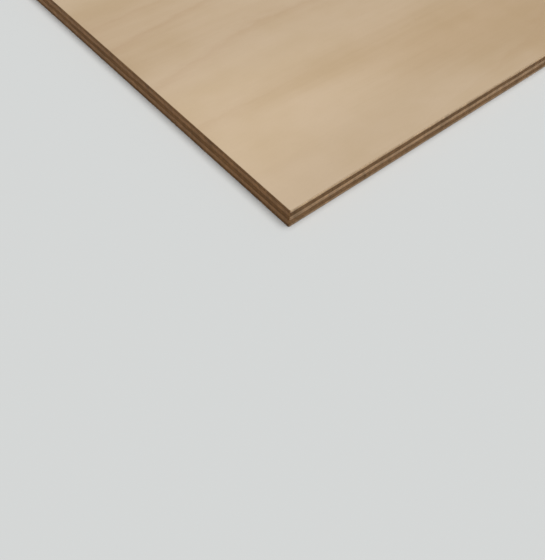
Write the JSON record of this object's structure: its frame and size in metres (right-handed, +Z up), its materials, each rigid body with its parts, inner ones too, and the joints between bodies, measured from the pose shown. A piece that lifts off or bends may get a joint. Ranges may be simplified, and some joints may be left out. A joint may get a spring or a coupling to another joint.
{
  "type": "plywood sheet",
  "caption": "Flat square sheet of thin birch plywood, cross-laminated veneers with crisp sawn edges, raw stock for cutting, routing and gluing.",
  "frame": {"origin": "under the middle of the sheet, on the surface that it lies on", "axes": "+Z up through the thickness from back to face, X along the face grain, Y across the face grain and along the crossbands' grain"},
  "size_m": [0.3, 0.3, 0.006],
  "materials": {
    "outer_veneer": "sanded, unfinished birch, long grain along X",
    "core": "sawn birch, long grain along X",
    "crossband": "sawn birch, long grain along Y"
  },
  "bodies": {
    "root": {"back_veneer": "outer_veneer", "lower_crossband": "crossband", "core_veneer": "core", "upper_crossband": "crossband", "face_veneer": "outer_veneer"}
  },
  "joints": []
}
